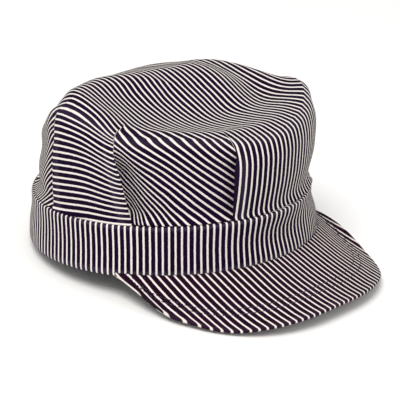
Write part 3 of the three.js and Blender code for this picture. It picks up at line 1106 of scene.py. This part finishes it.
# The photograph's camera, seen from the headband's middle: degrees, then the distance in
# millimetres, the scale in pixels and the pixels from the picture's middle to its aim.
CAMERA_AZIMUTH = -41.8
CAMERA_ELEVATION = 19.4
CAMERA_DISTANCE = 1100.0
CAMERA_SCALE = 1694.0
CAMERA_AIM = (26.1, 23.8)


class CapMakeStage(bpy.types.Operator):
    """Set the floor, the lights and the camera"""

    bl_idname = "cap.make_stage"
    bl_label = "Stage"

    def execute(self, context):
        make_floor(tuple(context.scene.cap_colours.floor))
        make_lights()
        make_camera()
        return {"FINISHED"}


def make_floor(colour):
    """A wide pale floor just under the cap."""
    mesh = bpy.data.meshes.new("floor")
    half, level = 3.0, -0.0004
    corners = [(-half, -half), (half, -half), (half, half), (-half, half)]
    mesh.from_pydata([(*corner, level) for corner in corners], [], [(0, 1, 2, 3)])
    floor = bpy.data.objects.new("floor", mesh)
    bpy.context.scene.collection.objects.link(floor)
    material = bpy.data.materials.new("floor_paper")
    material.use_nodes = True
    tree = material.node_tree
    shader = tree.nodes["Principled BSDF"]
    place = add_node(tree, "ShaderNodeTexCoord").outputs["Object"]
    grain = add_node(tree, "ShaderNodeTexNoise", {"Vector": place, "Scale": 90.0}).outputs[0]
    low = tuple(c * 0.995 for c in colour) + (1,)
    tree.links.new(blend_colours(tree, grain, low, colour + (1,)), shader.inputs["Base Color"])
    shader.inputs["Roughness"].default_value = 0.9
    shader.inputs["Specular IOR Level"].default_value = 0.1
    mesh.materials.append(material)


def area_light(name, place, target, size, power, colour):
    """A round soft light that points at its target."""
    data = bpy.data.lights.new(name, "AREA")
    data.shape = "DISK"
    data.size = size
    data.energy = power
    data.color = colour
    light = bpy.data.objects.new(name, data)
    light.location = place
    light.rotation_euler = (Vector(target) - Vector(place)).to_track_quat("-Z", "Y").to_euler()
    bpy.context.scene.collection.objects.link(light)


def make_lights():
    """A bright room, a wide key light overhead and a weak fill from the front."""
    world = bpy.data.worlds.new("soft_room")
    world.use_nodes = True
    world.node_tree.nodes["Background"].inputs[0].default_value = (1.0, 1.0, 1.0, 1)
    world.node_tree.nodes["Background"].inputs[1].default_value = 0.72
    bpy.context.scene.world = world
    target = (0, 0, 0.05)
    area_light("key", (-0.9, -0.35, 1.85), target, 1.3, 27, (1.0, 0.98, 0.95))
    area_light("fill", (0.3, -1.6, 1.1), target, 1.0, 2, (1.0, 1.0, 1.0))
    bpy.context.scene.view_settings.view_transform = "Standard"


def make_camera():
    """A camera where the photograph's one stood, given in the cap's own frame."""
    azimuth, elevation = np.radians(CAMERA_AZIMUTH), np.radians(CAMERA_ELEVATION)
    back = np.array([
        np.sin(azimuth) * np.cos(elevation),
        -np.cos(azimuth) * np.cos(elevation),
        np.sin(elevation),
    ])
    right = np.array([np.cos(azimuth), np.sin(azimuth), 0.0])
    above = np.cross(back, right)
    aim = -back * CAMERA_SCALE + right * CAMERA_AIM[0] + above * CAMERA_AIM[1]
    eye = back * CAMERA_DISTANCE
    spots = [Vector(p) for p in cap_to_row(np.array([eye, eye + aim, eye + (0, 0, 100.0)]))]
    forward = (spots[1] - spots[0]).normalized()
    side = forward.cross((spots[2] - spots[0]).normalized()).normalized()
    top = side.cross(forward)
    camera = bpy.data.objects.new("camera", bpy.data.cameras.new("camera"))
    camera.data.sensor_width = 36.0
    camera.data.lens = 36.0 * CAMERA_SCALE / 400
    camera.data.clip_end = 20
    camera.matrix_world = Matrix.Translation(spots[0]) @ Matrix(
        (side, top, -forward)
    ).transposed().to_4x4()
    bpy.context.scene.collection.objects.link(camera)
    bpy.context.scene.camera = camera


class CapPanel(bpy.types.Panel):
    """Steps that make the cap"""

    bl_idname = "VIEW3D_PT_cap"
    bl_label = "Striped work cap"
    bl_space_type = "VIEW_3D"
    bl_region_type = "UI"
    bl_category = "Cap"

    def draw(self, context):
        layout = self.layout
        for group in (context.scene.cap_sizes, context.scene.cap_colours):
            for name in group.__annotations__:
                layout.prop(group, name)
        for step in STEPS:
            layout.operator(step.bl_idname)


STEPS = (CapMakeCrown, CapMakeHeadband, CapMakeVisor, CapMakeStitching, CapMakeStage)
CLASSES = (CapSizes, CapColours, *STEPS, CapPanel)


def register():
    for entry in CLASSES:
        bpy.utils.register_class(entry)
    bpy.types.Scene.cap_sizes = bpy.props.PointerProperty(type=CapSizes)
    bpy.types.Scene.cap_colours = bpy.props.PointerProperty(type=CapColours)


def unregister():
    del bpy.types.Scene.cap_colours
    del bpy.types.Scene.cap_sizes
    for entry in reversed(CLASSES):
        bpy.utils.unregister_class(entry)


def main():
    register()
    bpy.ops.cap.make_crown()
    bpy.ops.cap.make_headband()
    bpy.ops.cap.make_visor()
    bpy.ops.cap.make_stitching()
    bpy.ops.cap.make_stage()
    bpy.context.view_layer.update()


if __name__ == "__main__":
    main()
